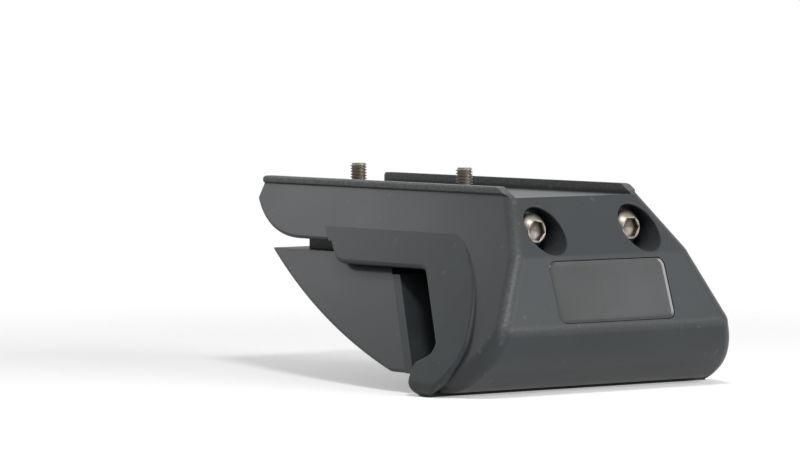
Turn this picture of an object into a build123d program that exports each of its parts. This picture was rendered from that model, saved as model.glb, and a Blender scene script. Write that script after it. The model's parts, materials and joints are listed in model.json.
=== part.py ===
"""Roof bar foot: a moulded leg that carries a crossbar and clamps a raised roof rail.

Frame: millimetres, +Z up. The origin is the middle of the flat seat under the bar.
+X runs along the bar to the outboard side of the car, Y along the roof rail.
"""

import os
from math import cos, radians, sin, tan

from build123d import *

# Bar seat on top of the leg
bar_width = 50.0
bar_side_clearance = 0.25
seat_inboard = 70.0
seat_outboard = 68.3
rim_wall = 3.4
rim_height = 3.5
bead_drop = 2.1
bead_proud = 0.6
bead_radius = 0.9
rim_run_out = 7.0
rim_flat_end = 1.4

# Flanks, which lean out from the seat down to the rail
flank_angle = 27.3
flank_at_seat = 28.3

# Outboard face: bolt face, badge face and the curved skirt under them
bolt_face_run = 14.7
bolt_face_drop = 18.6
badge_face_run = 8.0
badge_face_drop = 23.9
skirt_run = 20.0
skirt_bow = 4.2
crease_radius = 5.0
ridge_radius = 4.5
skirt_edge_radius = 5.0

# Wing that runs inboard under the bar
wing_depth = 17.2
prow_length = 31.5
nose_drop = 5.2
wing_edge_radius = 0.8

# Flat oval roof rail that the clamp is made for, leaning with its foot outboard
rail_thickness = 14.0
rail_height = 35.0
rail_lean = 44.0
rail_x = 42.7
rail_z = -39.1

# Rubber pad round the rail: a liner in the arch with a broad rim at each end
liner = 2.5
sole = 1.5
lip_slope = 26.0
lip_gap = 1.5
lip_overhang = 4.4
lip_depth = 10.64
lip_length = 10.6
ceiling_end_x = 22.0
ceiling_corner_radius = 6.0
lip_corner_radius = 2.5
tip_upper_radius = 1.5
tip_lower_radius = 7.8
tip_least_radius = 0.5
pad_rim_top_z = -12.5
pad_rim_depth = 4.0
pad_rim_angle = 29.6
pad_rim_inboard_x = -25.5
pad_rim_toe_x = -11.0
pad_rim_toe_radius = 11.0
pad_rim_shoulder = (48.5, -12.5)
pad_rim_bow = (68.6, -29.0)
pad_rim_heel = (12.0061, 17.6042)
pad_rim_heel_bow = (10.6061, 10.0042)
pad_rim_foot = (6.1061, 4.3042)
pad_foot_radius = 3.6
pad_edge_radius = 1.2

# Clamp bolts, M6 domed socket screws, and their counterbores in the bolt face
thread_diameter = 6.0
bolt_clearance = 0.6
bolt_spacing = 40.8
bolt_z = -11.0
bolt_length = 120.0
bolt_seat_x = 66.6
counterbore_diameter = 15.4
mouth_radius = 0.5
head_diameter = 12.0
head_height = 4.2
head_rim = 1.4
head_flat_diameter = 7.6
hex_key = 6.0
hex_depth = 2.4
tip_chamfer = 0.8
washer_diameter = 12.0
washer_thickness = 1.6
washer_bore_clearance = 0.4
retainer_diameter = 11.0
retainer_thickness = 1.0
retainer_gap = 0.3

# Clamp jaw under the wing, guided by two lugs in channels of the wing
slot_gap = 3.9
jaw_tip_x = -55.0
jaw_bottom_z = -58.0
jaw_foot_x = 38.0
jaw_foot_radius = 8.0
jaw_bow = 3.0
jaw_side_clearance = 0.8
jaw_tip_blunt = 1.0
jaw_edge_radius = 0.8
jaw_pad_thickness = 3.0
jaw_pad_drop = 6.0
lug_length = 18.0
lug_x = -35.0
lug_width = 14.4
lug_top_z = -4.8
lug_top_radius = 2.0
lug_clearance = 0.3
channel_inboard_x = -62.0
channel_outboard_x = 0.0
nut_width = 10.0
nut_thickness = 5.0
nut_clearance = 0.15
nut_thread_clearance = 0.05
core_pocket = (20.0, 17.0)
core_pocket_pitch = (25.0, 21.0)
core_pocket_count = (2, 3)
core_pocket_depth = 7.0
core_pocket_radius = 3.0
core_pocket_offset = 10.0

# Screws that hold the bar, standing up through the seat
bar_screw_end_distance = 18.0
bar_screw_spacing = 60.0
bar_screw_length = 16.0
bar_thread_diameter = 5.9
bar_thread_start_z = 0.5
bar_screw_head_diameter = 10.0
bar_screw_head_height = 6.0
bar_screw_pocket_diameter = 13.0
deck_thickness = 5.0
lock_washer_diameter = 10.6
lock_washer_thickness = 1.6
lock_washer_slit = 1.0

# Badge, blank, in a shallow recess of the badge face
badge_length = 50.0
badge_height = 21.5
badge_corner_radius = 3.0
badge_recess_depth = 0.9
badge_thickness = 0.8
badge_clearance = 0.2
badge_edge_radius = 0.4

os.makedirs("parts", exist_ok=True)


def meet(point_a, way_a, point_b, way_b):
    """Where two lines in the X-Z plane cross."""
    spin = way_a[0] * way_b[1] - way_a[1] * way_b[0]
    gap_x = point_b[0] - point_a[0]
    gap_z = point_b[1] - point_a[1]
    run = (gap_x * way_b[1] - gap_z * way_b[0]) / spin
    return (point_a[0] + run * way_a[0], point_a[1] + run * way_a[1])


# The rail's long axis, its flat sides' outward direction, and its lower round
lean = radians(rail_lean)
rail_down = (sin(lean), -cos(lean))
rail_outward = (cos(lean), sin(lean))
rail_radius = rail_thickness / 2
rail_half_flat = rail_height / 2 - rail_radius
rail_top_z = rail_z + rail_half_flat * cos(lean) + rail_radius
rail_low = (rail_x + rail_half_flat * rail_down[0], rail_z + rail_half_flat * rail_down[1])

# The lip under the rail, which the bottom of the foot hangs from
lip = radians(lip_slope)
lip_way = (cos(lip), sin(lip))


def lip_point(skin):
    """A point on the lip's slope, skin below the face that looks at the rail."""
    reach = rail_radius + lip_gap + skin
    return (rail_low[0] + reach * sin(lip), rail_low[1] - reach * cos(lip))


lip_tip_x = rail_low[0] + lip_overhang
lip_tip_z = meet((lip_tip_x, 0), (0, 1), lip_point(0), lip_way)[1]
pad_bottom_z = lip_tip_z - lip_depth
heel_x = lip_tip_x + lip_length

# Other places worked out from the sizes above
seat_half_width = bar_width / 2 + bar_side_clearance
rim_half_width = seat_half_width + rim_wall
crease_x = seat_outboard + bolt_face_run
skirt_x = crease_x + badge_face_run
skirt_z = -bolt_face_drop - badge_face_drop
leg_bottom_z = pad_bottom_z + sole
sweep_width = 2 * (flank_at_seat - pad_bottom_z)
sweep_length = 2 * (seat_inboard + skirt_x)
section_bottom_z = pad_bottom_z - rim_height
bolt_ys = {"front": -bolt_spacing / 2, "rear": bolt_spacing / 2}
bolt_bore_diameter = thread_diameter + bolt_clearance
head_seat_x = bolt_seat_x + washer_thickness
bolt_tip_x = head_seat_x - bolt_length
washer_bore = thread_diameter + washer_bore_clearance
jaw_top_z = -wing_depth - slot_gap
channel_width = lug_width + 2 * lug_clearance
nut_x = lug_x
bar_screw_inboard_x = bar_screw_end_distance - seat_inboard
bar_screw_xs = {
    "inboard": bar_screw_inboard_x,
    "outboard": bar_screw_inboard_x + bar_screw_spacing,
}
bar_washer_z = -deck_thickness
lock_washer_z = bar_washer_z - washer_thickness
bar_screw_head_z = lock_washer_z - lock_washer_thickness


def beside_rail(side, skin):
    """A point on the line that runs along a flat side of the rail, skin away from it."""
    reach = side * (rail_radius + skin)
    return (rail_x + reach * rail_outward[0], rail_z + reach * rail_outward[1])


def arch_corners(skin):
    """Corners of the arch over the rail, from its ceiling down to the heel under the lip."""
    ceiling_z = rail_top_z + skin
    ceiling_end = (ceiling_end_x, ceiling_z)
    wall_point = beside_rail(1, skin)
    floor_z = pad_bottom_z + skin * sole / liner
    tip = (lip_tip_x + skin, floor_z)
    return [
        ceiling_end,
        meet(ceiling_end, (1, 0), wall_point, rail_down),
        meet(wall_point, rail_down, lip_point(skin), lip_way),
        meet(tip, (0, 1), lip_point(skin), lip_way),
        tip,
        (heel_x, floor_z),
    ]


def from_heel(offset):
    """A point of the pad's outline, outboard of the heel and above the pad's bottom."""
    return (heel_x + offset[0], pad_bottom_z + offset[1])


def arch_radii(skin):
    """Corner radii that keep the liner's thickness even round every bend."""
    return [
        ceiling_corner_radius + skin,
        lip_corner_radius + skin,
        max(tip_upper_radius - skin, tip_least_radius),
        tip_lower_radius - skin,
    ]


def leaning_section(half_width, bottom_z):
    """Corners of a section across the pad that leans out from its top edge down to bottom_z."""
    lean_out = tan(radians(pad_rim_angle))
    top_half = half_width - (rim_height - pad_rim_top_z) * lean_out
    bottom_half = half_width + (pad_rim_top_z - bottom_z) * lean_out
    return [
        (-top_half, rim_height),
        (top_half, rim_height),
        (bottom_half, bottom_z),
        (-bottom_half, bottom_z),
    ]


def flank(z):
    """Half the leg's width at a height."""
    return flank_at_seat - z * tan(radians(flank_angle))


def bolt_axis(y):
    """The line that a clamp bolt turns about."""
    return Axis((0, y, bolt_z), (1, 0, 0))


# The pad's rims are flush with the leg's flanks at their top edge
pad_rim_half = flank(pad_rim_top_z)
core_half = pad_rim_half - pad_rim_depth
jaw_half = core_half - jaw_side_clearance

# Badge face, seen square on, with its own X along the rail and Y up the slope
badge_plane = Plane(
    origin=(crease_x + badge_face_run / 2, 0, -bolt_face_drop - badge_face_drop / 2),
    x_dir=(0, 1, 0),
    z_dir=(badge_face_drop, 0, badge_face_run),
)

# Crescent plates that cover the ends of the arch, used by the pad and cut from the leg
with BuildPart() as rim_plates:
    with BuildSketch(Plane.XZ):
        room_corners = arch_corners(0)
        toe = (pad_rim_toe_x, rail_top_z)
        inboard_end = (pad_rim_inboard_x, pad_rim_top_z)
        with BuildLine():
            room = FilletPolyline(
                inboard_end,
                toe,
                *room_corners[1:],
                radius=[pad_rim_toe_radius] + arch_radii(0),
            )
            heel = Line(room @ 1, from_heel(pad_rim_foot))
            lower = ThreePointArc(heel @ 1, from_heel(pad_rim_heel_bow), from_heel(pad_rim_heel))
            upper = ThreePointArc(lower @ 1, pad_rim_bow, pad_rim_shoulder)
            Line(upper @ 1, room @ 0)
        make_face()
    extrude(amount=sweep_width, both=True)
    with BuildSketch(Plane.YZ) as rim_section:
        Polygon(*leaning_section(pad_rim_half, pad_bottom_z), align=None)
        fillet(rim_section.vertices().sort_by(Axis.Y)[:2], radius=pad_foot_radius)
    extrude(amount=sweep_length, both=True, mode=Mode.INTERSECT)
    with BuildSketch(Plane.YZ):
        Polygon(*leaning_section(core_half, section_bottom_z), align=None)
    extrude(amount=sweep_length, both=True, mode=Mode.SUBTRACT)

# The part of the plates that lies flush in the leg, above the underside of the wing
with BuildPart() as flush_edges:
    add(rim_plates.part)
    split(bisect_by=Plane.XY.offset(-wing_depth), keep=Keep.TOP)

# Leg: one moulding with the seat, the wing, the outboard face and the hooked arch
with BuildPart() as leg_body:
    with BuildSketch(Plane.XZ) as leg_outline:
        with BuildLine():
            crown = FilletPolyline(
                (-seat_inboard, -nose_drop),
                (-seat_inboard, rim_height),
                (seat_outboard - rim_run_out, rim_height),
                (seat_outboard - rim_flat_end, 0),
                (seat_outboard, 0),
                (crease_x, -bolt_face_drop),
                (skirt_x, skirt_z),
                radius=[rim_flat_end, rim_height, 0, 0, crease_radius],
            )
            skirt_foot = (skirt_x - skirt_run, leg_bottom_z)
            skirt = SagittaArc(crown @ 1, skirt_foot, skirt_bow)
            under = Line(skirt @ 1, (heel_x, leg_bottom_z))
            arch = FilletPolyline(*reversed(arch_corners(liner)), radius=arch_radii(liner)[::-1])
            step = Line(arch @ 1, (ceiling_end_x, -wing_depth))
            wing = Line(step @ 1, (prow_length - seat_inboard, -wing_depth))
            TangentArc(wing @ 1, crown @ 0, tangent=wing % 1)
        make_face()
        skirt_corner = leg_outline.vertices().sort_by_distance((skirt_x, skirt_z))[0]
        fillet(skirt_corner, radius=skirt_edge_radius)
    extrude(amount=sweep_width, both=True)
    with BuildSketch(Plane.YZ) as leg_section:
        bead_z = rim_height - bead_drop
        groove_z = bead_z - bead_proud
        with BuildLine():
            side = Polyline(
                (0, rim_height),
                (rim_half_width, rim_height),
                (rim_half_width, bead_z),
                (flank(groove_z), groove_z),
                (flank(leg_bottom_z), leg_bottom_z),
                (0, leg_bottom_z),
            )
            mirror(side, about=Plane.YZ)
        make_face()
        bead_corners = leg_section.vertices().filter_by_position(Axis.Y, bead_z, rim_height)
        fillet(bead_corners, radius=bead_radius)
    extrude(amount=sweep_length, both=True, mode=Mode.INTERSECT)
    flank_edges = leg_body.edges().filter_by(Axis.Y, reverse=True)
    ridges = flank_edges.filter_by_position(Axis.X, seat_outboard, skirt_x)
    ridges = ridges.filter_by_position(Axis.Z, leg_bottom_z + ridge_radius, -ridge_radius)
    fillet(ridges, radius=ridge_radius)
    wing_edges = leg_body.edges().filter_by(Axis.Y, reverse=True)
    wing_edges = wing_edges.filter_by_position(Axis.X, -seat_inboard, ceiling_end_x)
    wing_edges = wing_edges.filter_by_position(Axis.Z, -wing_depth, -nose_drop)
    fillet(wing_edges, radius=wing_edge_radius)
    with BuildSketch(Plane.XY):
        Rectangle(sweep_length, 2 * seat_half_width)
    extrude(amount=rim_height, mode=Mode.SUBTRACT)
    add(rim_plates.part, mode=Mode.SUBTRACT)
    with BuildSketch(Plane.XY.offset(-wing_depth)):
        for y in bolt_ys.values():
            with Locations(((channel_inboard_x + channel_outboard_x) / 2, y)):
                Rectangle(channel_outboard_x - channel_inboard_x, channel_width)
    extrude(amount=wing_depth + lug_top_z + lug_clearance, mode=Mode.SUBTRACT)
    with BuildSketch(Plane.YZ.offset(channel_outboard_x)):
        with Locations(*[(y, bolt_z) for y in bolt_ys.values()]):
            Circle(bolt_bore_diameter / 2)
    extrude(amount=bolt_seat_x - channel_outboard_x, mode=Mode.SUBTRACT)
    with BuildSketch(Plane.YZ.offset(bolt_seat_x)):
        with Locations(*[(y, bolt_z) for y in bolt_ys.values()]):
            Circle(counterbore_diameter / 2)
    extrude(amount=skirt_x - bolt_seat_x, mode=Mode.SUBTRACT)
    mouths = leg_body.edges(Select.LAST).filter_by(GeomType.ELLIPSE)
    fillet(mouths, radius=mouth_radius)
    with BuildSketch(Plane.XY):
        with Locations(*[(x, 0) for x in bar_screw_xs.values()]):
            Circle(bolt_bore_diameter / 2)
    extrude(amount=-deck_thickness, mode=Mode.SUBTRACT)
    with BuildSketch(Plane.XY.offset(-deck_thickness)):
        with Locations(*[(x, 0) for x in bar_screw_xs.values()]):
            Circle(bar_screw_pocket_diameter / 2)
    extrude(amount=deck_thickness - wing_depth, mode=Mode.SUBTRACT)
    with BuildSketch(badge_plane):
        RectangleRounded(badge_length, badge_height, badge_corner_radius)
    extrude(amount=-badge_recess_depth, mode=Mode.SUBTRACT)

# Rail pad: the crescent plates joined by the liner of the arch
with BuildPart() as rail_pad:
    with BuildSketch(Plane.XZ):
        with BuildLine():
            rail_side = FilletPolyline(*arch_corners(0), radius=arch_radii(0))
            leg_side = FilletPolyline(*arch_corners(liner), radius=arch_radii(liner))
            Line(rail_side @ 0, leg_side @ 0)
            Line(rail_side @ 1, leg_side @ 1)
        make_face()
    extrude(amount=sweep_width, both=True)
    with BuildSketch(Plane.YZ):
        Polygon(*leaning_section(core_half, section_bottom_z), align=None)
    extrude(amount=sweep_length, both=True, mode=Mode.INTERSECT)
    add(rim_plates.part)
    sides = rail_pad.faces().filter_by(lambda face: abs(face.normal_at().Y) > abs(face.normal_at().Z))
    rim_faces = sides.sort_by(SortBy.AREA)[-2:]
    rim_edges = rim_faces.edges()
    straight_edges = rim_edges.filter_by(Axis.X).sort_by(Axis.Z)
    smooth_edges = straight_edges[:2] + straight_edges[-2:] + rim_edges.sort_by(Axis.X)[:2]
    fillet([edge for edge in rim_edges if edge not in smooth_edges], radius=pad_edge_radius)
    add(flush_edges.part)

# Jaw: a wedge under the wing with a lug for each clamp bolt
jaw_face = beside_rail(-1, jaw_pad_thickness)
jaw_shoulder = meet((0, jaw_top_z), (1, 0), jaw_face, rail_down)
jaw_foot = meet((0, jaw_bottom_z), (1, 0), jaw_face, rail_down)
jaw_slope = Vector(jaw_foot_x - jaw_tip_x, 0, jaw_bottom_z - jaw_top_z)
jaw_slope_plane = Plane(
    origin=Vector(jaw_tip_x, 0, jaw_top_z) + jaw_slope / 2,
    x_dir=jaw_slope,
    z_dir=Vector(0, 1, 0).cross(jaw_slope),
)
with BuildPart() as clamp_jaw:
    with BuildSketch(Plane.XZ) as jaw_outline:
        with BuildLine():
            jaw_tip = (jaw_tip_x, jaw_top_z)
            jaw_heel = (jaw_foot_x, jaw_bottom_z)
            jaw_chin = (jaw_tip_x, jaw_top_z - jaw_tip_blunt)
            Polyline(jaw_chin, jaw_tip, jaw_shoulder, jaw_foot, jaw_heel)
            SagittaArc(jaw_heel, jaw_chin, jaw_bow)
        make_face()
        fillet(jaw_outline.vertices().sort_by_distance(jaw_heel)[0], radius=jaw_foot_radius)
    extrude(amount=sweep_width, both=True)
    with BuildSketch(Plane.YZ):
        Polygon(*leaning_section(jaw_half, section_bottom_z), align=None)
    extrude(amount=sweep_length, both=True, mode=Mode.INTERSECT)
    slope_edges = clamp_jaw.faces().sort_by(Axis((0, 0, 0), jaw_slope_plane.z_dir))[-1].edges()
    fillet(slope_edges.filter_by(Axis.Y, reverse=True), radius=jaw_edge_radius)
    with BuildSketch(jaw_slope_plane.offset(jaw_bow)):
        with Locations((core_pocket_offset, 0)):
            with GridLocations(*core_pocket_pitch, *core_pocket_count):
                RectangleRounded(*core_pocket, core_pocket_radius)
    extrude(amount=-jaw_bow - core_pocket_depth, mode=Mode.SUBTRACT)
    with BuildSketch(Plane.XY.offset(jaw_top_z)):
        with Locations(*[(lug_x, y) for y in bolt_ys.values()]):
            Rectangle(lug_length, lug_width)
    extrude(amount=lug_top_z - jaw_top_z)
    fillet(clamp_jaw.faces().sort_by(Axis.Z)[-2:].edges(), radius=lug_top_radius)
    with BuildSketch(Plane.YZ.offset(lug_x - lug_length / 2)):
        with Locations(*[(y, bolt_z) for y in bolt_ys.values()]):
            Circle(bolt_bore_diameter / 2)
    extrude(amount=lug_length, mode=Mode.SUBTRACT)
    with BuildSketch(Plane.XY.offset(bolt_z - nut_width / 2 - nut_clearance)):
        with Locations(*[(nut_x, y) for y in bolt_ys.values()]):
            Rectangle(nut_thickness + 2 * nut_clearance, nut_width + 2 * nut_clearance)
    extrude(amount=lug_top_z - bolt_z + nut_width / 2 + nut_clearance, mode=Mode.SUBTRACT)

# Jaw pad: a rubber strip along the face that presses on the rail
jaw_pad_face = beside_rail(-1, 0)
jaw_pad_top_z = jaw_top_z - jaw_pad_drop
with BuildPart() as jaw_pad:
    with BuildSketch(Plane.XZ):
        with BuildLine():
            Polyline(
                meet((0, jaw_pad_top_z), (1, 0), jaw_face, rail_down),
                meet((0, jaw_pad_top_z), (1, 0), jaw_pad_face, rail_down),
                meet((0, jaw_bottom_z), (1, 0), jaw_pad_face, rail_down),
                jaw_foot,
                close=True,
            )
        make_face()
    extrude(amount=sweep_width, both=True)
    with BuildSketch(Plane.YZ):
        Polygon(*leaning_section(jaw_half, section_bottom_z), align=None)
    extrude(amount=sweep_length, both=True, mode=Mode.INTERSECT)

# Badge plate: blank, slightly domed at its edges
with BuildPart() as badge_plate:
    with BuildSketch(badge_plane.offset(-badge_recess_depth)):
        RectangleRounded(
            badge_length - 2 * badge_clearance,
            badge_height - 2 * badge_clearance,
            badge_corner_radius - badge_clearance,
        )
    extrude(amount=badge_thickness)
    badge_normal = Axis(badge_plane.origin, badge_plane.z_dir)
    fillet(badge_plate.faces().sort_by(badge_normal)[-1].edges(), radius=badge_edge_radius)

pieces = {
    "leg_body": leg_body,
    "rail_pad": rail_pad,
    "clamp_jaw": clamp_jaw,
    "jaw_pad": jaw_pad,
    "badge_plate": badge_plate,
}

# Each clamp bolt with its washer, its captive ring and the square nut in the jaw's lug
for end, y in bolt_ys.items():
    with BuildPart() as clamp_bolt:
        with BuildSketch(Plane.XZ.offset(-y)):
            head_top_x = head_seat_x + head_height
            with BuildLine():
                shank = Polyline(
                    (head_top_x, bolt_z),
                    (bolt_tip_x, bolt_z),
                    (bolt_tip_x, bolt_z + thread_diameter / 2 - tip_chamfer),
                    (bolt_tip_x + tip_chamfer, bolt_z + thread_diameter / 2),
                    (head_seat_x, bolt_z + thread_diameter / 2),
                    (head_seat_x, bolt_z + head_diameter / 2),
                    (head_seat_x + head_rim, bolt_z + head_diameter / 2),
                )
                dome_end = (head_top_x, bolt_z + head_flat_diameter / 2)
                dome = TangentArc(shank @ 1, dome_end, tangent=(1, 0))
                Line(dome @ 1, shank @ 0)
            make_face()
        revolve(axis=bolt_axis(y))
        with BuildSketch(Plane.YZ.offset(head_top_x)):
            with Locations((y, bolt_z)):
                RegularPolygon(hex_key / 2, 6, major_radius=False)
        extrude(amount=-hex_depth, mode=Mode.SUBTRACT)
    pieces[f"{end}_clamp_bolt"] = clamp_bolt

    with BuildPart() as bolt_washer:
        with BuildSketch(Plane.YZ.offset(bolt_seat_x)):
            with Locations((y, bolt_z)):
                Circle(washer_diameter / 2)
                Circle(washer_bore / 2, mode=Mode.SUBTRACT)
        extrude(amount=washer_thickness)
    pieces[f"{end}_bolt_washer"] = bolt_washer

    with BuildPart() as bolt_retainer:
        with BuildSketch(Plane.YZ.offset(channel_outboard_x - retainer_gap)):
            with Locations((y, bolt_z)):
                Circle(retainer_diameter / 2)
                Circle(thread_diameter / 2, mode=Mode.SUBTRACT)
        extrude(amount=-retainer_thickness)
    pieces[f"{end}_bolt_retainer"] = bolt_retainer

    with BuildPart() as jaw_nut:
        with BuildSketch(Plane.YZ.offset(nut_x - nut_thickness / 2)):
            with Locations((y, bolt_z)):
                Rectangle(nut_width, nut_width)
                Circle(thread_diameter / 2 + nut_thread_clearance, mode=Mode.SUBTRACT)
        extrude(amount=nut_thickness)
    pieces[f"{end}_jaw_nut"] = jaw_nut

# Each bar screw with its flat washer and split lock washer under the deck
for place, x in bar_screw_xs.items():
    with BuildPart() as bar_screw:
        with BuildSketch(Plane.XY.offset(bar_screw_head_z)):
            with Locations((x, 0)):
                Circle(bar_screw_head_diameter / 2)
        extrude(amount=-bar_screw_head_height)
        with BuildSketch(Plane.XY.offset(bar_screw_head_z)):
            with Locations((x, 0)):
                Circle(thread_diameter / 2)
        extrude(amount=bar_thread_start_z - bar_screw_head_z)
        with BuildSketch(Plane.XY.offset(bar_thread_start_z)):
            with Locations((x, 0)):
                Circle(bar_thread_diameter / 2)
        extrude(amount=bar_screw_head_z + bar_screw_length - bar_thread_start_z)
        chamfer(bar_screw.faces().sort_by(Axis.Z)[-1].edges(), length=tip_chamfer)
        with BuildSketch(Plane.XY.offset(bar_screw_head_z - bar_screw_head_height)):
            with Locations((x, 0)):
                RegularPolygon(hex_key / 2, 6, major_radius=False)
        extrude(amount=hex_depth, mode=Mode.SUBTRACT)
    pieces[f"{place}_bar_screw"] = bar_screw

    with BuildPart() as bar_washer:
        with BuildSketch(Plane.XY.offset(bar_washer_z)):
            with Locations((x, 0)):
                Circle(washer_diameter / 2)
                Circle(washer_bore / 2, mode=Mode.SUBTRACT)
        extrude(amount=-washer_thickness)
    pieces[f"{place}_bar_washer"] = bar_washer

    with BuildPart() as lock_washer:
        with BuildSketch(Plane.XY.offset(lock_washer_z)):
            with Locations((x, 0)):
                Circle(lock_washer_diameter / 2)
                Circle(washer_bore / 2, mode=Mode.SUBTRACT)
            with Locations((x + lock_washer_diameter / 2, 0)):
                Rectangle(lock_washer_diameter, lock_washer_slit, mode=Mode.SUBTRACT)
        extrude(amount=-lock_washer_thickness)
    pieces[f"{place}_lock_washer"] = lock_washer

for name, piece in pieces.items():
    piece.part.label = name
    export_step(piece.part, f"parts/{name}.step")
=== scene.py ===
# %% [markdown]
# # A roof bar foot, dressed in Blender
# The foot is a charcoal moulding with a flat seat on top, a long wing and a hooked arch lined with
# rubber. A wedge-shaped jaw slides under the wing, and two long steel bolts pull it to the arch.
# The CAD model already has the right solids, so it is loaded as a frame, and its nodes keep their
# places.
# This lesson gives the mouldings their finish, and replaces the plain fasteners and the badge plate
# by pieces with threads, sockets and soft edges.

# %% Load the CAD frame
import json
from math import atan2, cos, hypot, pi, radians, sin, tan, tau

import bmesh
import bpy
from bmesh.types import BMEdge, BMFace, BMVert
from mathutils import Matrix, Vector


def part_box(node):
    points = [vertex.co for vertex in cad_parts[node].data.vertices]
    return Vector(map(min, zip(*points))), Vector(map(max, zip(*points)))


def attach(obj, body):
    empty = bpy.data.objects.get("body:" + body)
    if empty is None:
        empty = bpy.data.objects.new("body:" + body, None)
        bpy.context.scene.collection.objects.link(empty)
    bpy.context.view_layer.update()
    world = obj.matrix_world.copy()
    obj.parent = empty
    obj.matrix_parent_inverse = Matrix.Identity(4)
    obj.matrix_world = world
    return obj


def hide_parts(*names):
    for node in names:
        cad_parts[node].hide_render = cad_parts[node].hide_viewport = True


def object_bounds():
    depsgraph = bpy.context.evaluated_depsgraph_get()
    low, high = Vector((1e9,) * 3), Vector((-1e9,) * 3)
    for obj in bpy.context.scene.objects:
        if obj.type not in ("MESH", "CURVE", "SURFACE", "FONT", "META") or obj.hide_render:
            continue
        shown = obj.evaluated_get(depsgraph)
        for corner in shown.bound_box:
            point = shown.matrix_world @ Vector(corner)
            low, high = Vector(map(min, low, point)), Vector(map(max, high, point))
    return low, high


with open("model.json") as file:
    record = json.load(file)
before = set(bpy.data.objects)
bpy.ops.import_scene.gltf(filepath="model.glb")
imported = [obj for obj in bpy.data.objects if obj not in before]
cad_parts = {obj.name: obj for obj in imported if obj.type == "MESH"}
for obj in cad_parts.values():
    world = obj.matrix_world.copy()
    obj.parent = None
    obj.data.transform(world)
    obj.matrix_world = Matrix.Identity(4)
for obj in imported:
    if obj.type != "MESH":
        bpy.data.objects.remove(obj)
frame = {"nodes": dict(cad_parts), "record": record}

millimetre = 0.001
nodes = frame["nodes"]
cad_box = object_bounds()
print("CAD nodes:", len(nodes), "box:", cad_box)

# %% [markdown]
# ## The camera
# The picture was taken from in front of the outboard end, almost level with the foot.
# Its lens was long, which keeps parallel edges nearly parallel, so the focal length is over 200 mm.
# The place and the turn were found by laying the CAD edges over the picture until they met.

# %% Set the camera
camera_place = (1.3161, -1.0389, 0.0670)
camera_below_level = 2.7472
camera_heading = 52.3
focal_length = 218.97
sensor_width = 36
camera_data = bpy.data.cameras.new("camera")
camera_data.sensor_width = sensor_width
camera_data.lens = focal_length
camera = bpy.data.objects.new("camera", camera_data)
camera.location = camera_place
camera.rotation_euler = (radians(90 - camera_below_level), 0, radians(camera_heading))
bpy.context.scene.collection.objects.link(camera)
bpy.context.scene.camera = camera
bpy.context.scene.view_settings.view_transform = "Standard"
print("camera at", camera_place)

# %% [markdown]
# ## Writing shaders as sums
# A finish is a handful of nodes, and wiring them one by one is slow to read.
# `Amount` wraps one number socket, so that `grain * 0.2 + 0.5` adds the Math nodes by itself.
# `Finish` owns a material and makes every other node with one method, from its type, its settings
# and its inputs.

# %% Wrap a number socket
class Amount:
    """A number that changes over a surface, with Python's own operators."""

    def __init__(self, finish, socket):
        self.finish = finish
        self.socket = socket

    def math(self, operation, *values):
        inputs = dict(enumerate(values))
        return self.finish.node("ShaderNodeMath", {"operation": operation}, inputs)

    def __add__(self, other):
        return self.math("ADD", self, other)

    def __sub__(self, other):
        return self.math("SUBTRACT", self, other)

    def __rsub__(self, other):
        return self.math("SUBTRACT", other, self)

    def __mul__(self, other):
        return self.math("MULTIPLY", self, other)

    __radd__ = __add__
    __rmul__ = __mul__

    def largest(self, other):
        return self.math("MAXIMUM", self, other)

    def least(self, other):
        return self.math("MINIMUM", self, other)

    def size(self):
        return self.math("ABSOLUTE", self)

    def at_least(self, floor):
        """An amount from 0 to 1, squeezed so that it starts at floor."""
        return self * (1 - floor) + floor

    def swing(self, width):
        """A noise, which lies round 0.5, as a swing round 0 of about this width."""
        return (self - 0.5) * width

    def smooth(self, low, high):
        """0 at low, 1 at high, and an even curve between them."""
        inputs = {"Value": self, "From Min": low, "From Max": high}
        return self.finish.node("ShaderNodeMapRange", {"interpolation_type": "SMOOTHSTEP"}, inputs)


print("a number socket has:", [name for name in vars(Amount) if not name.startswith("_")])

# %% Own a node tree
occlusion_samples = 8


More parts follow.
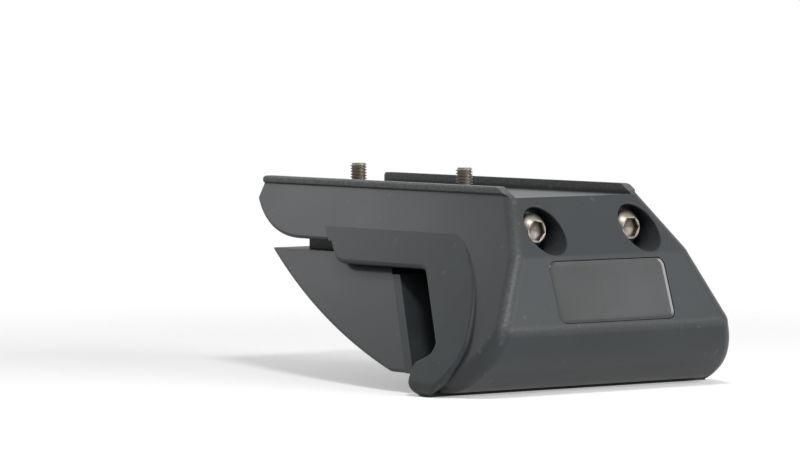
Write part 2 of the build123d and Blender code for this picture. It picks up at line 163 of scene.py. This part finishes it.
class Finish:
    """A material, or the world, and the nodes that make it."""

    def __init__(self, owner):
        self.owner = owner
        owner.use_nodes = True
        self.tree = owner.node_tree
        self.tree.nodes.clear()

    def node(self, kind, settings=None, inputs=None, output=0):
        """A new node. Its output comes back as an Amount, also where it is a colour or a shader."""
        made = self.tree.nodes.new(kind)
        for name, value in (settings or {}).items():
            setattr(made, name, value)
        for name, value in (inputs or {}).items():
            socket = self.find(made.inputs, name)
            if isinstance(value, Amount):
                self.tree.links.new(value.socket, socket)
            elif hasattr(value, "__len__") and socket.type == "RGBA":
                socket.default_value = (*value, 1)
            else:
                socket.default_value = value
        return Amount(self, self.find(made.outputs, output)) if made.outputs else None

    def find(self, sockets, name):
        """A socket by its number, its identifier or its name."""
        if isinstance(name, int):
            return sockets[name]
        for socket in sockets:
            if socket.identifier == name:
                return socket
        return sockets[name]

    def ray(self, kind):
        """1 for rays of a kind, such as the camera's own, and 0 for all others."""
        return self.node("ShaderNodeLightPath", output=f"Is {kind} Ray")

    def place(self):
        """The point on the surface, in metres of the piece's own frame."""
        return self.node("ShaderNodeTexCoord", output="Object")

    def millimetres(self):
        """The three coordinates of that point, each in millimetres."""
        split = self.node("ShaderNodeSeparateXYZ", None, {"Vector": self.place()})
        return [Amount(self, socket) * 1000 for socket in split.socket.node.outputs]

    def hollow(self, reach, own_only):
        """0 on open faces, near 1 in corners and holes narrower than the reach."""
        settings = {"samples": occlusion_samples, "only_local": own_only}
        return 1 - self.node("ShaderNodeAmbientOcclusion", settings, {"Distance": reach}, "AO")

    def noise(self, scale, detail=2, stretch=(1, 1, 1)):
        """A soft random field with about this many lumps to the metre."""
        turned = self.node("ShaderNodeMapping", None, {"Vector": self.place(), "Scale": stretch})
        inputs = {"Vector": turned, "Scale": scale, "Detail": detail}
        return self.node("ShaderNodeTexNoise", None, inputs)

    def blend(self, share, colour, other):
        """One colour at share 0, the other at share 1."""
        inputs = {"Factor_Float": share, "A_Color": colour, "B_Color": other}
        return self.node("ShaderNodeMix", {"data_type": "RGBA"}, inputs, "Result_Color")

    def bump(self, height, depth):
        """A normal from a height between 0 and 1, depth metres deep."""
        inputs = {"Height": height, "Distance": depth, "Strength": 1.0}
        return self.node("ShaderNodeBump", None, inputs, "Normal")

    def surface(self, inputs):
        """The shader itself, on the material's output."""
        shader = self.node("ShaderNodeBsdfPrincipled", None, inputs, "BSDF")
        self.node("ShaderNodeOutputMaterial", None, {"Surface": shader})
        return self.owner


def new_finish(name):
    """An empty material to paint on."""
    return Finish(bpy.data.materials.new(name))


print("a finish has:", [name for name in vars(Finish) if not name.startswith("_")])

# %% [markdown]
# ## The studio
# The real foot stood in a white studio, where most of the light comes from all round.
# The world gives that even light. The camera and reflections see it white, and it lights less.
# Three soft boxes shape the foot: one grazes the wing, one lights the badge face and one runs along
# the ridge. The floor is a pale sheet that fades out round the foot, so its far edge never shows.

# %% Light the studio from all round
white = (1, 1, 1)
black = (0, 0, 0)
fill_light = 0.35


def shade(colour, share):
    """A colour made paler or darker."""
    return tuple(share * value for value in colour)


world = Finish(bpy.data.worlds.new("studio"))
bpy.context.scene.world = world.owner
shown_white = world.ray("Camera").largest(world.ray("Glossy")).largest(world.ray("Transmission"))
sky_colour = world.blend(shown_white, shade(white, fill_light), white)
sky = world.node("ShaderNodeBackground", None, {"Color": sky_colour, "Strength": 1.0})
world.node("ShaderNodeOutputWorld", None, {"Surface": sky})
print("studio fill:", fill_light)


# %% Hang the soft boxes
def soft_box(name, place, target, size, spread, watts):
    """A square lamp turned to a target. A small spread, in degrees, keeps its light in a cone."""
    lamp = bpy.data.lights.new(name, "AREA")
    lamp.shape = "SQUARE"
    lamp.size = size
    lamp.spread = radians(spread)
    lamp.energy = watts
    holder = bpy.data.objects.new(name, lamp)
    holder.location = place
    away = Vector(place) - Vector(target)
    holder.rotation_euler = away.to_track_quat("Z", "Y").to_euler()
    bpy.context.scene.collection.objects.link(holder)
    print(name, "of", watts, "W at", place)


foot_middle = (Vector(cad_box[0]) + Vector(cad_box[1])) / 2
wing_end = (-0.08, -0.04, 0.02)
soft_box("wing_box", (-0.36, -0.24, 0.22), wing_end, size=0.08, spread=22, watts=0.007)
soft_box("badge_box", (0.90, 0.35, 0.30), foot_middle, size=0.50, spread=180, watts=5.5)
soft_box("ridge_box", (0.30, -0.16, 0.46), foot_middle, size=0.12, spread=180, watts=1.4)

# %% Lay the floor
floor_radius = 0.7
floor_sides = 64
floor_shape = bmesh.new()
bmesh.ops.create_circle(floor_shape, cap_ends=True, segments=floor_sides, radius=floor_radius)
bmesh.ops.translate(floor_shape, verts=floor_shape.verts, vec=(foot_middle.x, 0, cad_box[0][2]))
floor_mesh = bpy.data.meshes.new("floor")
floor_shape.to_mesh(floor_mesh)
floor_shape.free()
floor = bpy.data.objects.new("floor", floor_mesh)
bpy.context.scene.collection.objects.link(floor)
print("floor at z =", round(cad_box[0][2], 4))

# %% Mix the floor's paper
floor_fade = (0.14, 0.42)
floor_glow = 0.36
paper_grey = 0.84
paper_pale = 0.88
paper_roughness = 0.95
paper_fibres = 900
paper = new_finish("studio_paper")
ground = paper.node("ShaderNodeVectorMath", {"operation": "LENGTH"}, {0: paper.place()}, "Value")
fibre = paper.noise(paper_fibres, detail=3)
paper_shown = paper.ray("Camera").largest(paper.ray("Glossy"))
floor_mesh.materials.append(
    paper.surface({
        "Base Color": paper.blend(fibre, shade(white, paper_grey), shade(white, paper_pale)),
        "Roughness": paper_roughness,
        "Specular IOR Level": 0.0,
        "Alpha": 1 - ground.smooth(*floor_fade),
        "Emission Color": paper.blend(paper_shown, black, shade(white, floor_glow)),
        "Emission Strength": 1.0,
    })
)
print("the floor fades out from", floor_fade[0], "to", floor_fade[1], "m")

# %% [markdown]
# ## Moulded plastic
# The leg and the jaw are glass-filled plastic from a spark-eroded mould, which leaves a fine grain.
# Close up the grain scatters the light, so the highlights are broad and soft.
# A slow drift in colour and roughness stands for the way the melt flowed.
# Corners, holes and the joints between parts get painted shade: a darker colour where an ambient
# occlusion node finds them hollow.
# A few specks of dust lie anywhere.

# %% Dust a surface
dust_colour = (0.13, 0.13, 0.125)
dust_share = 0.3
speck_scale = 420
speck_range = (0.79, 0.84)


def dusted(finish, tone):
    """A colour with a few pale specks of dust on it."""
    specks = finish.noise(speck_scale, detail=0).smooth(*speck_range)
    return finish.blend(specks * dust_share, tone, dust_colour)


print("dust colour:", dust_colour)

# %% Mix the moulded plastic
charcoal = (0.0375, 0.0417, 0.0447)
# Pale colour of worn edges, also used for their painted highlight and painted reflection.
wear_and_highlight_colour = (0.115, 0.117, 0.116)
plastic_grain = 2400
plastic_grain_depth = 0.015 * millimetre
plastic_specular = 0.22
melt_flow = 28
flow_share = 0.7
flow_paler = 1.18
flow_roughness = 0.12
grain_roughness = 0.1
scuff_scale = 1100
scuff_floor = 0.3
painted_shade_reach = 6 * millimetre
painted_shade_range = (0.1, 0.75)
painted_shade_share = 0.8
painted_shade_darker = 0.25
noise_range = (0.3, 0.7)


def moulded_plastic(name, colour, roughness, pale_marks=None):
    """Grained plastic of a roughness, with painted shade in its hollows. A last function, if given,
    says where it is paler: partly wear, partly painted highlight.
    """
    finish = new_finish(name)
    grain = finish.noise(plastic_grain, detail=3)
    flow = finish.noise(melt_flow)
    drift = (flow * flow_share + grain * (1 - flow_share)).smooth(*noise_range)
    tone = finish.blend(drift, colour, shade(colour, flow_paler))
    if pale_marks:
        scuff = finish.noise(scuff_scale, detail=4).smooth(*noise_range)
        # Paler edges: partly wear, partly painted highlight and painted reflection.
        tone = finish.blend(pale_marks(finish) * scuff.at_least(scuff_floor), tone, wear_and_highlight_colour)
    # Painted shade: the colour darkens in corners, holes and along the joints between parts.
    painted_shade = finish.hollow(painted_shade_reach, own_only=False).smooth(*painted_shade_range)
    tone = finish.blend(painted_shade * painted_shade_share, tone, shade(colour, painted_shade_darker))
    return finish.surface({
        "Base Color": dusted(finish, tone),
        "Specular IOR Level": plastic_specular,
        "Roughness": roughness + flow.swing(flow_roughness) + grain.swing(grain_roughness),
        "Normal": finish.bump(grain, plastic_grain_depth),
    })


jaw_plastic = moulded_plastic("jaw_plastic", charcoal, roughness=0.42)
print("made", jaw_plastic.name)

# %% [markdown]
# ## Pale edges
# Hands and cloths rub a moulding's corners first, so they look paler and a little scuffed. The same
# pale mark also paints light: a painted highlight along the ridges and the lower crease, and a
# painted reflection on the rims' beads. The ridge mark fades out higher up, so the top of the ridge
# stays dark, as if in shade.
# A mask painted by hand would need a picture, so the corners are worked out from the planes that
# meet there: a point is on a corner when it lies close under two faces at once.
# The leg is the same at both ends, so the size of Y serves for both flanks.

# %% Find the leg's pale edges
flank_lean = radians(27.3)
flank_at_seat = 28.3
seat_edge = (68.3, 0)
upper_crease = (83.0, -18.6)
lower_crease = (91.0, -42.5)
ridge_depths = (-3.8, -0.6)
ridge_fade_heights = (-4, -34)
ridge_fade_floor = 0.3
crease_squares = (5.0, 0.3)
crease_share = 0.25
rim_heights = (0.8, 1.6)


def stands_out(x, z, start, end):
    """How far a point stands out from the flat face between two lines along Y."""
    run, drop = end[0] - start[0], start[1] - end[1]
    return ((x - start[0]) * drop + (z - start[1]) * run) * (1 / hypot(run, drop))


def leg_wear_and_highlight(finish):
    """1 where the leg is palest: ridges low down, lower crease a little, rims; worn, with painted
    highlight and painted reflection.
    """
    x, y, z = finish.millimetres()
    flank = (y.size() + z * tan(flank_lean) - flank_at_seat) * cos(flank_lean)
    bolt_face = stands_out(x, z, seat_edge, upper_crease)
    badge_face = stands_out(x, z, upper_crease, lower_crease)
    ridge = flank.least(bolt_face.largest(badge_face)).smooth(*ridge_depths)
    # The ridge mark fades out higher up, so the top of the ridge stays dark, as if in shade.
    ridge_fade = z.smooth(*ridge_fade_heights).at_least(ridge_fade_floor)
    off_x, off_z = x - lower_crease[0], z - lower_crease[1]
    crease = (off_x * off_x + off_z * off_z).smooth(*crease_squares)
    # The rims' beads get a painted reflection.
    rims = z.smooth(*rim_heights)
    return (ridge * ridge_fade).largest(crease * crease_share).largest(rims)


leg_plastic = moulded_plastic("leg_plastic", charcoal, roughness=0.4, pale_marks=leg_wear_and_highlight)
print("made", leg_plastic.name)

# %% [markdown]
# ## Rubber
# The pad that lines the arch and the strip on the jaw are moulded rubber.
# Its gloss is duller than the plastic's, with a silky bloom that makes its roughness uneven.
# Noise at two scales does that: a slow one for the bloom and a fine one for the grain.

# %% Mix the rubber
rubber_specular = 0.16
rubber_roughness = 0.36
rubber_grain = 2200
rubber_grain_depth = 0.012 * millimetre
bloom_scale = 60
bloom_range = (0.35, 0.7)
bloom_paler = 1.3
bloom_roughness = 0.14


def moulded_rubber(name, colour):
    """Rubber with a cloudy bloom."""
    finish = new_finish(name)
    bloom = finish.noise(bloom_scale, detail=4)
    grain = finish.noise(rubber_grain)
    tone = finish.blend(bloom.smooth(*bloom_range), colour, shade(colour, bloom_paler))
    return finish.surface({
        "Base Color": dusted(finish, tone),
        "Roughness": rubber_roughness + bloom * bloom_roughness,
        "Specular IOR Level": rubber_specular,
        "Normal": finish.bump(grain, rubber_grain_depth),
    })


pad_rubber = moulded_rubber("pad_rubber", (0.0385, 0.0431, 0.0467))
jaw_rubber = moulded_rubber("jaw_rubber", (0.032, 0.0365, 0.0393))
print("made", pad_rubber.name, jaw_rubber.name)

# %% [markdown]
# ## Steel
# The screws are turned steel with a dull warm plating, and the washers are stamped and tumbled.
# Fine scratches make the roughness uneven, which keeps the metal from looking like chrome.
# Deep in the sockets the steel is darker and rougher: the same occlusion node finds those hollows.

# %% Mix the steels
scratch_scale = 700
scratch_depth = 0.01 * millimetre
scratch_roughness = 0.2
stain_scale = 260
stain_range = (0.35, 0.75)
stain_darker = 0.8
hollow_dark_colour = (0.09, 0.075, 0.062)
hollow_dark_reach = 5 * millimetre
hollow_dark_range = (0.15, 0.6)
hollow_dark_share = 0.75
hollow_roughness = 0.15


def worked_steel(name, colour, roughness, stretch=(1, 1, 1)):
    """Stained steel of a roughness. A stretch along an axis makes the scratches finer there."""
    finish = new_finish(name)
    scratches = finish.noise(scratch_scale, detail=4, stretch=stretch)
    stain = finish.noise(stain_scale, detail=3).smooth(*stain_range)
    # Darker and rougher in the sockets and other hollows that the occlusion node finds.
    hollow_dark = finish.hollow(hollow_dark_reach, own_only=True).smooth(*hollow_dark_range)
    tone = finish.blend(stain, colour, shade(colour, stain_darker))
    return finish.surface({
        "Base Color": finish.blend(hollow_dark * hollow_dark_share, tone, hollow_dark_colour),
        "Metallic": 1.0,
        "Roughness": roughness + scratches.swing(scratch_roughness) + hollow_dark * hollow_roughness,
        "Normal": finish.bump(scratches, scratch_depth),
    })


bolt_steel = worked_steel("bolt_steel", (0.32, 0.287, 0.25), roughness=0.42, stretch=(8, 1, 1))
washer_steel = worked_steel("washer_steel", (0.40, 0.40, 0.40), roughness=0.42)
nut_steel = worked_steel("nut_steel", (0.45, 0.44, 0.41), roughness=0.36, stretch=(1, 4, 1))
print("made", bolt_steel.name, washer_steel.name, nut_steel.name)

# %% [markdown]
# ## Blank badge
# The plate on the badge face is smooth charcoal plastic under clear lacquer, left blank.
# The shader's coat is the lacquer.
# A faint ripple and a little dust keep its gloss from looking perfect.

# %% Mix the badge's gloss
ripple_scale = 40
ripple_depth = 0.008 * millimetre
ripple_paler = 1.3
lacquer_dust = 1800
lacquer_dust_range = (0.62, 0.8)
lacquer_roughness = 0.18
lacquer_uneven = 0.06
lacquer_coat = 0.25
lacquer_coat_dulled = 0.05
lacquer_coat_roughness = 0.08


def lacquer(name, colour):
    """Dark plastic under a clear coat."""
    finish = new_finish(name)
    ripple = finish.noise(ripple_scale, detail=1)
    dust = finish.noise(lacquer_dust).smooth(*lacquer_dust_range)
    tone = finish.blend(ripple.smooth(*noise_range), colour, shade(colour, ripple_paler))
    return finish.surface({
        "Base Color": tone,
        "Roughness": lacquer_roughness + ripple * lacquer_uneven + dust * lacquer_uneven,
        "Coat Weight": lacquer_coat - dust * lacquer_coat_dulled,
        "Coat Roughness": lacquer_coat_roughness,
        "Normal": finish.bump(ripple, ripple_depth),
    })


badge_gloss = lacquer("badge_gloss", (0.016, 0.0175, 0.0185))
print("made", badge_gloss.name)

# %% Paint the CAD nodes
finishes = {
    "leg_plastic": leg_plastic,
    "pad_rubber": pad_rubber,
    "jaw_plastic": jaw_plastic,
    "jaw_rubber": jaw_rubber,
    "badge_gloss": badge_gloss,
    "bolt_steel": bolt_steel,
    "washer_steel": washer_steel,
    "nut_steel": nut_steel,
}
for subpart in frame["record"]["subparts"]:
    node = nodes[subpart["node"]]
    node.data.materials.clear()
    node.data.materials.append(finishes[subpart["material_slot"]])
print("painted", len(nodes), "CAD nodes")

# %% [markdown]
# ## Handing a piece over
# Every new piece ends the same way. Its seams are merged, its faces turned outwards and its sharp
# edges marked. Then it rides on the body that moves it and stands in for the plain CAD node.

# %% Finish a piece
seam_gap = 0.002 * millimetre
sharp_degrees = 32


def finish_piece(shape, body, slot, node):
    """Makes the shape an object that stands for a CAD node."""
    bmesh.ops.remove_doubles(shape, verts=shape.verts, dist=seam_gap)
    bmesh.ops.recalc_face_normals(shape, faces=shape.faces)
    for face in shape.faces:
        face.smooth = True
    open_edges = sum(len(edge.link_faces) != 2 for edge in shape.edges)
    mesh = bpy.data.meshes.new("made_" + node)
    shape.to_mesh(mesh)
    shape.free()
    mesh.set_sharp_from_angle(angle=radians(sharp_degrees))
    mesh.materials.append(finishes[slot])
    piece = bpy.data.objects.new("made_" + node, mesh)
    bpy.context.scene.collection.objects.link(piece)
    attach(piece, body)
    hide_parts(node)
    print(piece.name, "has", len(mesh.polygons), "faces and", open_edges, "open edges")


print("edges over", sharp_degrees, "degrees stay sharp")

# %% [markdown]
# ## A few tools
# Operators take and give back mixed lists of vertices, edges and faces, so two helpers sort those.
# Drawing a ring of edges out again and again builds sockets and bores step by step.
# Screws and nuts are modelled on the Z axis and then set into the place of their CAD node.

# %% Make the tools
lay_down = Matrix.Rotation(radians(90), 4, "Y")
hang_down = Matrix.Rotation(radians(180), 4, "X")


def everything(shape):
    """All vertices, edges and faces of a shape."""
    return shape.verts[:] + shape.edges[:] + shape.faces[:]


def only(kind, geometry):
    """The items of one kind in what an operator gives back."""
    return [item for item in geometry if isinstance(item, kind)]


def draw_ring(shape, edges):
    """Extrudes a closed ring of edges, and gives back the new ring's edges and vertices."""
    old = {vert for edge in edges for vert in edge.verts}
    made = bmesh.ops.extrude_edge_only(shape, edges=edges)["geom"]
    verts = [vert for vert in only(BMVert, made) if vert not in old]
    return [edge for edge in only(BMEdge, made) if old.isdisjoint(edge.verts)], verts


def round_off(shape, geometry, offset, affect, segments):
    """A round bevel of edges or of single corners."""
    bmesh.ops.bevel(
        shape,
        geom=geometry,
        offset=offset,
        affect=affect,
        segments=segments,
        profile=0.5,
        material=-1,
    )


def box_middle(low, high):
    """The middle of a CAD node's box."""
    return Vector([(least + most) / 2 for least, most in zip(low, high)])


def set_in_place(shape, place, turn):
    """Turns a shape from the Z axis, and moves its origin to a place."""
    bmesh.ops.transform(shape, matrix=Matrix.Translation(place) @ turn, verts=shape.verts)


print("laid down, Z points along", lay_down @ Vector((0, 0, 1)))

# %% [markdown]
# ## Screw threads
# A metric thread is one small tooth wound round a core. A spin with a rise in each step winds it.
# A long spin is slow, so one turn is copied on top of itself, which doubles the length each time.
# The turns meet edge to edge, so merging the doubles makes one skin.
# Two flat cuts then trim it to length, and the tip is narrowed to a cone, as a rolled thread has.

# %% Wind a thread
steps_a_turn = 32
tooth_depth = 0.6134
spare_turns = 2
root_end, crest_start, crest_end = 1 / 4, 9 / 16, 11 / 16


def wind_thread(shape, low, high, radius, pitch):
    """A closed thread on the Z axis from its tip at low to high."""
    root = radius - tooth_depth * pitch
    tooth = [(0, root), (root_end, root), (crest_start, radius), (crest_end, radius), (1, root)]
    corners = [
        shape.verts.new((reach, 0, low + (share - spare_turns) * pitch)) for share, reach in tooth
    ]
    sides = [shape.edges.new(pair) for pair in zip(corners, corners[1:])]
    bmesh.ops.spin(
        shape,
        geom=corners + sides,
        axis=(0, 0, 1),
        dvec=(0, 0, pitch / steps_a_turn),
        angle=tau,
        steps=steps_a_turn,
    )
    turns = 1
    while turns * pitch < high - low + 2 * spare_turns * pitch:
        copy = bmesh.ops.duplicate(shape, geom=everything(shape))["geom"]
        bmesh.ops.translate(shape, verts=only(BMVert, copy), vec=(0, 0, turns * pitch))
        turns *= 2
    bmesh.ops.remove_doubles(shape, verts=shape.verts, dist=seam_gap)
    for height, outward in ((low, (0, 0, -1)), (high, (0, 0, 1))):
        cut = bmesh.ops.bisect_plane(
            shape,
            geom=everything(shape),
            plane_co=(0, 0, height),
            plane_no=outward,
            clear_outer=True,
        )
        bmesh.ops.edgeloop_fill(shape, edges=only(BMEdge, cut["geom_cut"]))
    for vert in shape.verts:
        reach = vert.co.xy.length
        most = root + vert.co.z - low
        if reach > most:
            vert.co.xy *= most / reach


print("a thread has", steps_a_turn, "steps a turn")

# %% [markdown]
# ## Screw heads
# A head is a profile spun round the axis, left open on top.
# Its hexagon socket is a circle of vertices pushed out to six sides, bridged to the open edge and
# sunk down. A thin chamfer round the mouth catches the light, and a drill point closes the bottom.

# %% Spin a profile
spin_steps = 48
same_place = 1e-7


def spin_profile(shape, profile):
    """Turns a chain of (reach, height) points round the Z axis, and gives back its last ring."""
    corners = [shape.verts.new((reach, 0, height)) for reach, height in profile]
    sides = [shape.edges.new(pair) for pair in zip(corners, corners[1:])]
    bmesh.ops.spin(
        shape,
        geom=corners + sides,
        axis=(0, 0, 1),
        angle=tau,
        steps=spin_steps,
        use_merge=True,
    )
    top_reach, top = profile[-1]

    def on_top(vert):
        level = abs(vert.co.z - top) < same_place
        return level and abs(vert.co.xy.length - top_reach) < same_place

    return [edge for edge in shape.edges if edge.is_boundary and all(map(on_top, edge.verts))]


print("a spun piece has", spin_steps, "sides")

# %% Sink a socket
socket_across = 6.0 * millimetre
socket_depth = 2.0 * millimetre
socket_mouth = 1.07
socket_chamfer = 0.17 * millimetre
drill_point = 0.7 * millimetre
drill_narrowing = 0.15


def hexagon_reach(angle, across):
    """How far a hexagon's side is from its middle, with a side facing angle 0."""
    off_middle = (angle + pi / 6) % (pi / 3) - pi / 6
    return across / 2 / cos(off_middle)


def sink_socket(shape, rim, top):
    """A hexagon socket in a flat top whose open edge is rim."""
    circle = bmesh.ops.create_circle(shape, segments=spin_steps, radius=socket_across)["verts"]
    for vert in circle:
        side = hexagon_reach(atan2(vert.co.y, vert.co.x), socket_across)
        vert.co *= socket_mouth * side / vert.co.length
    bmesh.ops.translate(shape, verts=circle, vec=(0, 0, top))
    mouth = list(dict.fromkeys(edge for vert in circle for edge in vert.link_edges))
    bmesh.ops.bridge_loops(shape, edges=rim + mouth)
    chamfer = (1 / socket_mouth, socket_chamfer)
    wall = (1, socket_depth)
    cone = (drill_narrowing, drill_point)
    for narrowing, drop in (chamfer, wall, cone):
        mouth, lower = draw_ring(shape, mouth)
        bmesh.ops.scale(shape, verts=lower, vec=(narrowing, narrowing, 1))
        bmesh.ops.translate(shape, verts=lower, vec=(0, 0, -drop))
    bmesh.ops.edgeloop_fill(shape, edges=mouth)


print("the sockets take a key of", socket_across, "m")

# %% [markdown]
# ## The clamp bolts
# Two long M6 screws with steep domed heads pull the jaw. Only the heads show, in the bolt face.
# The last 48 mm is threaded, which is enough for the jaw's whole travel.
# The screw is modelled upright, head up, and then laid along X into the place of its CAD node.
# Nobody lines two screws up, so the front one is turned a little further home than the rear one.

# %% Draw the domed head
screw_radius = 3.0 * millimetre
bolt_head_height = 4.2 * millimetre
bolt_head_rim = 0.4 * millimetre
bolt_head_flat = 3.75 * millimetre
small_round = 0.25 * millimetre
dome_turn = radians(30)
dome_steps = 8


def domed_profile(head_radius, shank_low):
    """The outline of the shank and the domed head, from the axis up to the flat top."""
    run, rise = head_radius - bolt_head_flat, bolt_head_height - bolt_head_rim
    curve = hypot(run, rise) / (2 * sin(dome_turn / 2))
    first_lean = atan2(run, rise) - dome_turn / 2
    profile = [
        (0, shank_low),
        (screw_radius, shank_low),
        (screw_radius, -small_round),
        (screw_radius + small_round, 0),
        (head_radius - small_round, 0),
        (head_radius, small_round),
    ]
    for step in range(dome_steps + 1):
        lean = first_lean + dome_turn * step / dome_steps
        reach = head_radius + curve * (cos(lean) - cos(first_lean))
        height = bolt_head_rim + curve * (sin(lean) - sin(first_lean))
        profile.append((reach, height))
    return profile


print("the domed head is", bolt_head_height, "m high")

# %% Make the clamp bolts
screw_pitch = 1.0 * millimetre
bolt_thread = 48 * millimetre
bolt_turns = {"front": radians(-12), "rear": 0}
for end, turn in bolt_turns.items():
    low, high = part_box(f"{end}_clamp_bolt")
    head_radius = (high[1] - low[1]) / 2
    bolt_length = high[0] - low[0] - bolt_head_height
    thread_end = bolt_thread - bolt_length
    bolt = bmesh.new()
    wind_thread(bolt, -bolt_length, thread_end, screw_radius, screw_pitch)
    rim = spin_profile(bolt, domed_profile(head_radius, thread_end - screw_pitch / 2))
    sink_socket(bolt, rim, bolt_head_height)
    seat = box_middle(low, high)
    seat.x = high[0] - bolt_head_height
    set_in_place(bolt, seat, lay_down @ Matrix.Rotation(turn, 4, "Z"))
    finish_piece(bolt, f"{end}_bolt", "bolt_steel", f"{end}_clamp_bolt")

# %% [markdown]
# ## The seat screws
# Two short socket screws come up through the seat, and their tips stand between the rims.
# They use the same thread and socket, with a straight cap head in place of the dome.
# They hang head down.

# %% Make the seat screws
seat_thread_radius = 2.95 * millimetre
cap_height = 6.0 * millimetre
cap_chamfer = 0.5 * millimetre
cap_flat = 4.0 * millimetre
for place in ("inboard", "outboard"):
    low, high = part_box(f"{place}_bar_screw")
    cap_radius = (high[0] - low[0]) / 2
    screw_length = high[2] - low[2] - cap_height
    screw = bmesh.new()
    wind_thread(screw, -screw_length, -small_round, seat_thread_radius, screw_pitch)
    cap = [
        (0, 0),
        (cap_radius - small_round, 0),
        (cap_radius, small_round),
        (cap_radius, cap_height - cap_chamfer),
        (cap_radius - cap_chamfer, cap_height),
        (cap_flat, cap_height),
    ]
    rim = spin_profile(screw, cap)
    sink_socket(screw, rim, cap_height)
    seat = box_middle(low, high)
    seat.z = low[2] + cap_height
    set_in_place(screw, seat, hang_down)
    finish_piece(screw, "leg", "bolt_steel", f"{place}_bar_screw")

# %% [markdown]
# ## Split lock washers
# A lock washer is one turn of square wire with its ends cut apart and set a little askew.
# A spin that stops short of a full turn, with a small rise, makes that ring.
# The spin starts from a face, so both ends come out closed.

# %% Make the lock washers
washer_bore_radius = 3.2 * millimetre
washer_slit = 1.0 * millimetre
washer_rise = 0.25 * millimetre
for place in ("inboard", "outboard"):
    low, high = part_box(f"{place}_lock_washer")
    outer = (high[1] - low[1]) / 2
    thick = high[2] - low[2] - washer_rise
    ring = bmesh.new()
    wire = [(washer_bore_radius, 0), (outer, 0), (outer, thick), (washer_bore_radius, thick)]
    end_face = ring.faces.new([ring.verts.new((reach, 0, height)) for reach, height in wire])
    round_off(ring, end_face.verts[:], small_round / 2, "VERTICES", segments=3)
    slit_angle = washer_slit / outer
    bmesh.ops.rotate(ring, verts=ring.verts, matrix=Matrix.Rotation(slit_angle / 2, 3, "Z"))
    bmesh.ops.spin(
        ring,
        geom=everything(ring),
        axis=(0, 0, 1),
        dvec=(0, 0, washer_rise / spin_steps),
        angle=tau - slit_angle,
        steps=spin_steps,
    )
    middle = box_middle(low, high)
    middle.z = low[2]
    bmesh.ops.translate(ring, verts=ring.verts, vec=middle)
    finish_piece(ring, "leg", "washer_steel", f"{place}_lock_washer")

# %% [markdown]
# ## Square nuts
# The jaw's nuts are pressed square nuts with clipped corners and a countersunk bore.
# A circle of vertices is pushed out to the square.
# Rings of edges are drawn from it up the sides, down through the bore and back to the start.

# %% Make the square nuts
nut_corner_clip = 0.93
nut_bore_radius = 3.05 * millimetre
nut_countersink = 0.5 * millimetre


def square_reach(angle, across):
    """How far a square's side is from its middle, with its corners clipped round."""
    off_middle = (angle + pi / 4) % (pi / 2) - pi / 4
    return min(across / 2 / cos(off_middle), nut_corner_clip * across / 2 / cos(pi / 4))


for end in ("front", "rear"):
    low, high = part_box(f"{end}_jaw_nut")
    across = high[1] - low[1]
    thick = high[0] - low[0]
    nut = bmesh.new()
    loop = bmesh.ops.create_circle(nut, segments=spin_steps, radius=across)["verts"]
    for vert in loop:
        vert.co *= square_reach(atan2(vert.co.y, vert.co.x), across) / vert.co.length
    edges = start = nut.edges[:]
    rings = [
        (None, small_round),
        (None, thick - small_round),
        (nut_bore_radius + nut_countersink, thick),
        (nut_bore_radius, thick - nut_countersink),
        (nut_bore_radius, nut_countersink),
        (nut_bore_radius + nut_countersink, 0),
    ]
    for reach, height in rings:
        edges, verts = draw_ring(nut, edges)
        for vert in verts:
            if reach:
                vert.co.xy *= reach / vert.co.xy.length
            vert.co.z = height
    bmesh.ops.bridge_loops(nut, edges=edges + start)
    middle = box_middle(low, high)
    middle.x = low[0]
    set_in_place(nut, middle, lay_down)
    finish_piece(nut, "jaw", "nut_steel", f"{end}_jaw_nut")

# %% [markdown]
# ## The badge plate
# The plate is a thin moulded tile with a narrow raised frame round a sunken field, left blank.
# One flat face gets round corners by a bevel of its vertices, then thickness, an inset frame and
# soft edges. The face leans, so its own directions are read off the CAD node first.

# %% Measure the badge plate
badge_node = nodes["badge_plate"]
badge_front = max(badge_node.data.polygons, key=lambda face: face.area * face.normal.x)
badge_out = badge_front.normal.copy()
badge_along = Vector((0, 1, 0))
badge_up = badge_out.cross(badge_along)
badge_ways = (badge_along, badge_up, badge_out)
spans = [[vert.co.dot(way) for vert in badge_node.data.vertices] for way in badge_ways]
left, bottom, back = map(min, spans)
right, top, front = map(max, spans)
print("badge plate:", round(right - left, 4), "by", round(top - bottom, 4), "m")

# %% Make the badge plate
badge_corner = 2.8 * millimetre
badge_corner_steps = 8
badge_frame = 0.9 * millimetre
badge_sunk = 0.25 * millimetre
badge_soft = 0.2 * millimetre
badge = bmesh.new()
corners = [(left, bottom), (right, bottom), (right, top), (left, top)]
badge.faces.new([badge.verts.new((along, up, back)) for along, up in corners])
round_off(badge, badge.verts[:], badge_corner, "VERTICES", badge_corner_steps)
raised = bmesh.ops.extrude_face_region(badge, geom=badge.faces[:])["geom"]
bmesh.ops.translate(badge, verts=only(BMVert, raised), vec=(0, 0, front - back))
field = only(BMFace, raised)[0]
outline = field.edges[:]
bmesh.ops.inset_region(badge, faces=[field], thickness=badge_frame, use_even_offset=True)
bmesh.ops.translate(badge, verts=field.verts[:], vec=(0, 0, -badge_sunk))
round_off(badge, outline + field.edges[:], badge_soft, "EDGES", segments=3)
stood = Matrix(badge_ways).transposed().to_4x4()
bmesh.ops.transform(badge, matrix=stood, verts=badge.verts)
finish_piece(badge, "leg", "badge_gloss", "badge_plate")

# %% [markdown]
# ## The size
# The dressed foot is meant to stay inside the CAD model's box.
